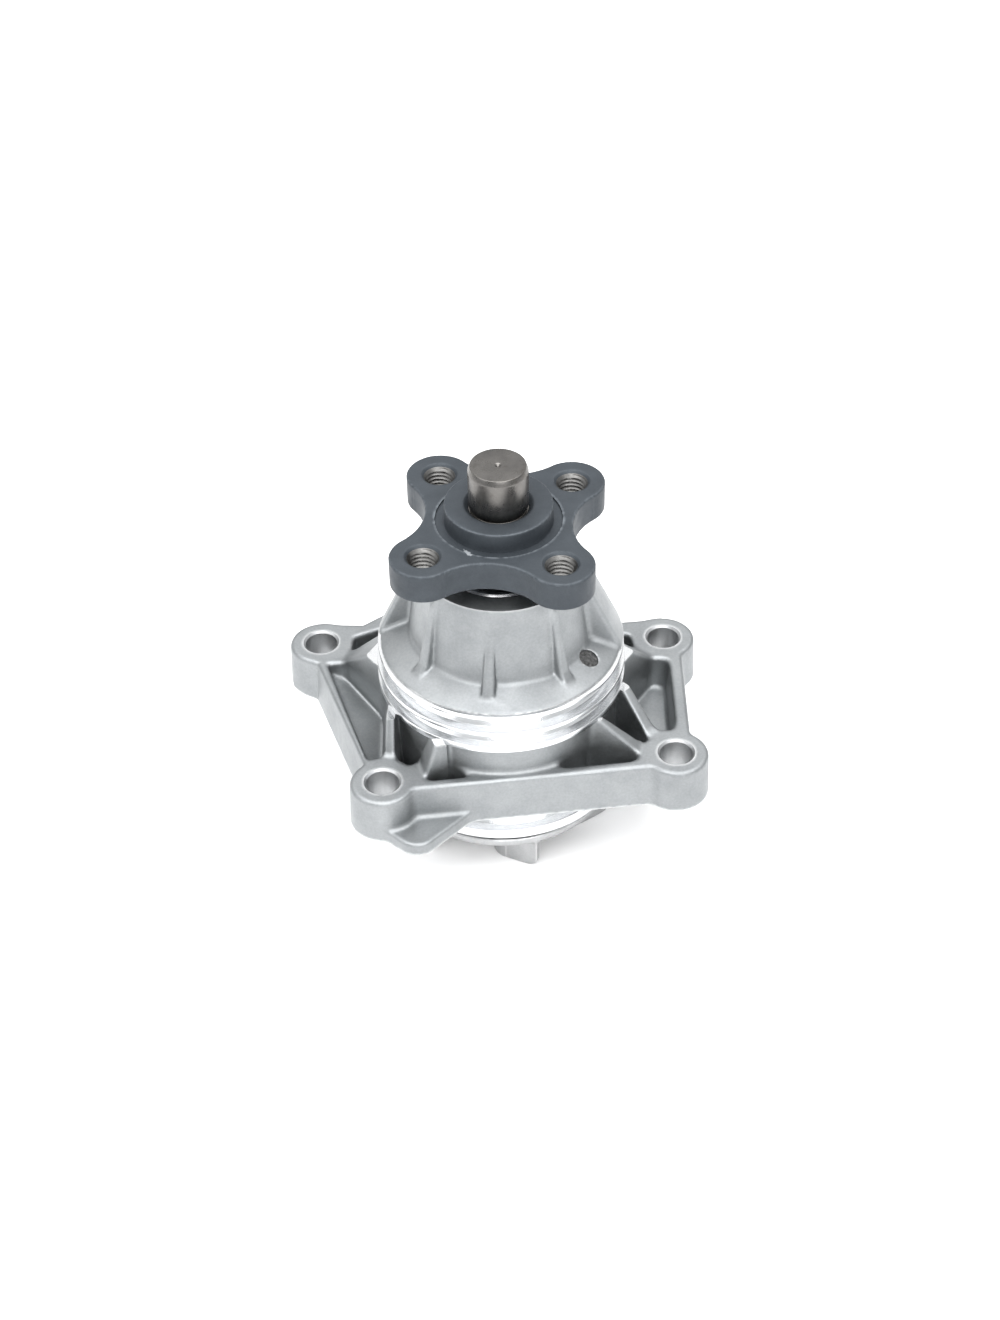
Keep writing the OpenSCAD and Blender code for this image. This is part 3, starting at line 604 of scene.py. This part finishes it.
# a small chip at the groove in the hub's top
HUB_MARKS = [((-8.1, -14.4, 74.8), -62, (3.4, 1.3, 2.4))]
# the cast, oxide and impeller finishes paint their convex edges lighter: partly wear, partly painted highlight
MATERIALS = {
    "cast_aluminium": metal(
        "cast_skin", (0.25, 0.262, 0.27), (0.33, 0.343, 0.35), (0.42, 0.56), patch=70, grain=1500,
        bump_mm=0.05, edge_wear_and_highlight=(0.55, 0.56, 0.565), edge_wear_and_highlight_at=(0.03, 0.16),
    ),
    "vent_foam": plain(
        "foam_skin", (0.012, 0.012, 0.012), (0.10, 0.10, 0.10), (0.8, 0.95), grain=1400, bump_mm=0.3,
    ),
    "bearing_steel": metal("ground_steel", (0.50, 0.50, 0.51), (0.62, 0.62, 0.63), (0.16, 0.26), bump_mm=0.006),
    "shaft_steel": metal(
        "shaft_skin", (0.13, 0.125, 0.12), (0.19, 0.182, 0.172), (0.24, 0.36), patch=160, grain=2600,
        bump_mm=0.008, lines=(40, 40, 9000), stain=(0.09, 0.082, 0.072),
    ),
    "cage_nylon": plain("cage_skin", (0.70, 0.67, 0.58), (0.80, 0.78, 0.70), (0.4, 0.55), bump_mm=0.01),
    "seal_rubber": plain("rubber_skin", (0.012, 0.012, 0.012), (0.04, 0.04, 0.04), (0.5, 0.7), bump_mm=0.02),
    "pressed_steel": metal("pressed_skin", (0.46, 0.47, 0.48), (0.60, 0.61, 0.62), (0.25, 0.4), bump_mm=0.01),
    "dark_oxide_steel": metal(
        "oxide_skin", (0.034, 0.041, 0.049), (0.050, 0.059, 0.069), (0.46, 0.6), patch=120, grain=2200,
        bump_mm=0.015, metallic=0.5, edge_wear_and_highlight=(0.13, 0.146, 0.162), marks=HUB_MARKS, mark_colour=(0.3, 0.32, 0.34),
    ),
    "seal_brass": metal("cup_skin", (0.52, 0.42, 0.2), (0.68, 0.56, 0.3), (0.25, 0.38), bump_mm=0.008),
    "spring_steel": metal("spring_skin", (0.4, 0.4, 0.4), (0.58, 0.58, 0.58), (0.22, 0.36), bump_mm=0.006),
    "seal_carbon": plain("carbon_skin", (0.02, 0.02, 0.022), (0.06, 0.06, 0.064), (0.35, 0.5), bump_mm=0.01),
    "seal_ceramic": plain(
        "ceramic_skin", (0.74, 0.73, 0.69), (0.84, 0.83, 0.80), (0.15, 0.25), bump_mm=0.003, coat=0.4,
    ),
    "bush_steel": metal(
        "bush_skin", (0.40, 0.40, 0.41), (0.54, 0.54, 0.55), (0.28, 0.4), bump_mm=0.008, lines=(40, 40, 9000),
    ),
    "impeller_steel": metal(
        "impeller_skin", (0.38, 0.385, 0.39), (0.52, 0.525, 0.53), (0.36, 0.5), patch=110, grain=1600,
        bump_mm=0.015, edge_wear_and_highlight=(0.7, 0.7, 0.7), edge_wear_and_highlight_at=(0.03, 0.16),
    ),
}
TURNED = metal(
    "turned_skin", (0.80, 0.81, 0.82), (0.88, 0.89, 0.90), (0.16, 0.26), patch=60, grain=3000,
    bump_mm=0.004, lines=(20, 20, 7000), aniso=0.3,
)
BORED = metal(
    "bored_skin", (0.36, 0.368, 0.375), (0.46, 0.468, 0.475), (0.34, 0.46), patch=120, grain=2400,
    bump_mm=0.01, lines=(900, 900, 60),
)
THREAD = metal("thread_skin", (0.095, 0.094, 0.092), (0.18, 0.178, 0.174), (0.28, 0.4), patch=400, bump_mm=0.008)

for sub in frame["record"]["subparts"]:
    material = MATERIALS[sub["material_slot"]]
    node = frame["nodes"][sub["node"]]
    node.data.materials.clear()
    node.data.materials.append(material)


def piece(obj, body, slot_name, material=None, replaces=()):
    """Puts a new piece on its body, with its finish and the CAD nodes it stands for."""
    obj.data.materials.append(material or MATERIALS[slot_name])
    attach(obj, body)
    if replaces:
        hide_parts(*replaces)


# ---------------------------------------------------------------- housing

HOUSING_STEP = 0.45
points, faces, edge = contour(housing, (-62, -51.5, -6), (57.5, 40, 62.5), HOUSING_STEP)
casting = mesh_object("housing_casting", points, faces, 30, edge)
piece(casting, "pump_body", "cast_aluminium", replaces=["housing"])
# the ring's underside on the webs and the mounting face are machined
casting.data.materials.append(TURNED)
centres = points[faces].mean(1)
level = np.ptp(points[faces][:, :, 2], axis=1) < 0.02
outside = np.hypot(centres[:, 0], centres[:, 1]) > NECK_R
cut = level & ((centres[:, 2] < 0.03) | (np.abs(centres[:, 2] - RING_LOW) < 0.05) & outside)
if len(casting.data.polygons) == len(cut):
    casting.data.polygons.foreach_set("material_index", cut.astype(np.int32))

upper_ring = lathe(
    "housing_upper_ring",
    [
        (29.6, RING_LOW), (LAND_R, RING_LOW), (LAND_R, 24.2), (31.5, 24.2), (31.5, 28.1), (LAND_R, 28.1),
        (LAND_R, 29.3), (31.1, 29.3), (31.1, 33.4), (RIM_R, 33.4), (RIM_R, RIM_Z), (29.6, RIM_Z),
    ],
    360,
)
piece(upper_ring, "pump_body", "cast_aluminium", TURNED, ["housing"])
spigot = lathe(
    "housing_spigot",
    [
        (30, -10.3), (33.4, -10.3), (34, -9.7), (34, -6.8), (31.5, -6.8), (31.5, -2.8), (34, -2.8),
        (34, 0.02), (30, 0.02),
    ],
    360,
)
piece(spigot, "pump_body", "cast_aluminium", TURNED, ["housing"])
for k, centre in enumerate(BOLTS):
    bore = lathe(
        f"housing_bolt_bore_{k + 1}",
        [(BOLT_R, 0.5), (CAST_R, 0), (5.5, 0.4), (5.5, 12.8), (CAST_R, FRAME_H), (BOLT_R, 12.7)],
        96, 0, centre=centre,
    )
    piece(bore, "pump_body", "cast_aluminium", BORED, ["housing"])

# ---------------------------------------------------------------- hub, threads and shaft

points, faces, edge = contour(hub, (-36, -36, 61.5), (36, 36, 81), 0.4)
c, s = math.cos(HUB_TURN), math.sin(HUB_TURN)
points = np.stack([points[:, 0] * c - points[:, 1] * s, points[:, 0] * s + points[:, 1] * c, points[:, 2]], 1)
piece(mesh_object("hub_plate", points, faces, 30, edge), "rotor", "dark_oxide_steel", replaces=["drive_hub"])


def thread(name, cx, cy):
    """Inside thread M8 x 1.25 as a tube with a helical inner face, run out at the countersink."""
    turns, rows, pitch = 40, 132, 1.25
    minor, tooth, widest, outside = 3.35, 0.65, 4.3, 4.4
    low, high = HUB_LOW + 0.05, HUB_TOP - 0.7
    inner, outer = [], []
    for j in range(rows + 1):
        z = low + (high - low) * j / rows
        for i in range(turns):
            a = 2 * math.pi * i / turns
            phase = (z / pitch - i / turns) % 1.0
            depth = min(max(abs(phase - 0.5) * 2 * 1.25 - 0.125, 0.0), 1.0)
            r = minor + tooth * depth
            r = min(max(r, SINK_R - (HUB_TOP - z)), widest)
            inner.append((cx + r * math.cos(a), cy + r * math.sin(a), z))
            outer.append((cx + outside * math.cos(a), cy + outside * math.sin(a), z))
    points = np.array(inner + outer)
    shift = len(inner)
    faces = []
    for j in range(rows):
        for i in range(turns):
            n = (i + 1) % turns
            a, b, cc, d = j * turns + i, j * turns + n, (j + 1) * turns + n, (j + 1) * turns + i
            faces.append((a, d, cc, b))
            faces.append((a + shift, b + shift, cc + shift, d + shift))
    for i in range(turns):
        n = (i + 1) % turns
        top = rows * turns
        faces.append((i, n, n + shift, i + shift))
        faces.append((top + i, top + i + shift, top + n + shift, top + n))
    obj = mesh_object(name, points, np.array(faces), 25)
    piece(obj, "rotor", "dark_oxide_steel", THREAD, ["drive_hub"])


for k in range(4):
    a = HUB_TURN + math.pi / 4 + k * math.pi / 2
    thread(f"hub_thread_{k + 1}", HOLE_AT * math.cos(a), HOLE_AT * math.sin(a))

shaft = lathe(
    "shaft_body",
    [
        (0.001, -21), (6.96, -21), (SHAFT_R, -20), (SHAFT_R, 29.9), (7.18, 30.3), (7.06, 31.3), (7.18, 32.3),
        (SHAFT_R, 32.7), (SHAFT_R, 78.7), (7.5, 78.7), (7.5, 79.9), (SHAFT_R, 79.9), (SHAFT_R, 90.5),
        (7.36, 92), (0.9, 92), (0.001, 91.3),
    ],
    160, 0.15, 25,
)
piece(shaft, "rotor", "shaft_steel", replaces=["pump_shaft"])

# ---------------------------------------------------------------- impeller

points, faces, edge = contour(impeller, (-33, -33, -26), (33, 33, -12), 0.45)
piece(mesh_object("impeller_body", points, faces, 30, edge), "rotor", "impeller_steel", replaces=["impeller"])

# ---------------------------------------------------------------- camera, floor and light

scene = bpy.context.scene
ELEVATION, ROLL, LENS_MM = math.radians(40.769), math.radians(0.982), 63.9
# where the pivot lies from the camera: right, up and ahead, in millimetres
PIVOT = Vector((0, 0, 75))
SHIFT = Vector((-0.321, 37.354, 614.367))
right = Vector((1, 0, 0))
up = Vector((0, math.sin(ELEVATION), math.cos(ELEVATION)))
ahead = Vector((0, math.cos(ELEVATION), -math.sin(ELEVATION)))
cr, sr = math.cos(ROLL), math.sin(ROLL)
cam_right = right * cr - up * sr
cam_up = right * sr + up * cr
place = PIVOT - cam_right * SHIFT.x - cam_up * SHIFT.y - ahead * SHIFT.z
camera_data = bpy.data.cameras.new("photo_camera")
camera_data.sensor_width = 36
camera_data.lens = LENS_MM
camera_data.clip_start, camera_data.clip_end = 0.01, 50
camera = bpy.data.objects.new("photo_camera", camera_data)
camera.matrix_world = Matrix.Translation(place * MM) @ Matrix((cam_right, cam_up, -ahead)).transposed().to_4x4()
scene.collection.objects.link(camera)
scene.camera = camera

floor_mesh = bpy.data.meshes.new("floor")
size, ground = 6.0, CAD_BOX[0][2]
floor_mesh.from_pydata(
    [(-size, -size, ground), (size, -size, ground), (size, size, ground), (-size, size, ground)],
    [], [(0, 1, 2, 3)],
)
floor = bpy.data.objects.new("floor", floor_mesh)
scene.collection.objects.link(floor)
floor_material, tree, shader = nodes_of("floor_paper")
shader.inputs["Base Color"].default_value = (0.9, 0.9, 0.9, 1)
shader.inputs["Roughness"].default_value = 0.9
shader.inputs["Specular IOR Level"].default_value = 0.1
floor_mesh.materials.append(floor_material)


def softbox(name, at, aim, width, height, power, colour=(1, 1, 1)):
    data = bpy.data.lights.new(name, "AREA")
    data.shape = "RECTANGLE"
    data.size, data.size_y = width, height
    data.energy = power
    data.color = colour
    light = bpy.data.objects.new(name, data)
    light.location = at
    light.rotation_euler = (Vector(aim) - Vector(at)).to_track_quat("-Z", "Y").to_euler()
    scene.collection.objects.link(light)


softbox("top_box", (0.02, -0.06, 1.3), (0, 0, 0), 1.6, 1.6, 27)
softbox("front_box", (0.3, -1.3, 0.9), (0, 0, 0.03), 0.9, 0.7, 11)
softbox("left_box", (-1.1, -0.5, 0.7), (0, 0, 0.01), 0.8, 0.6, 4)
world = bpy.data.worlds.new("studio")
scene.world = world
world.use_nodes = True
wt = world.node_tree
background = wt.nodes["Background"]
where = wt.nodes.new("ShaderNodeTexCoord")
split = wt.nodes.new("ShaderNodeSeparateXYZ")
sky = wt.nodes.new("ShaderNodeValToRGB")
sky.color_ramp.elements[0].position, sky.color_ramp.elements[0].color = 0.0, (0.42, 0.43, 0.44, 1)
sky.color_ramp.elements[1].position, sky.color_ramp.elements[1].color = 0.75, (1.0, 1.0, 1.0, 1)
wt.links.new(where.outputs["Generated"], split.inputs[0])
wt.links.new(split.outputs["Z"], sky.inputs["Fac"])
wt.links.new(sky.outputs["Color"], background.inputs["Color"])
background.inputs["Strength"].default_value = 1.25
scene.view_settings.view_transform = "Standard"
scene.view_settings.look = "None"
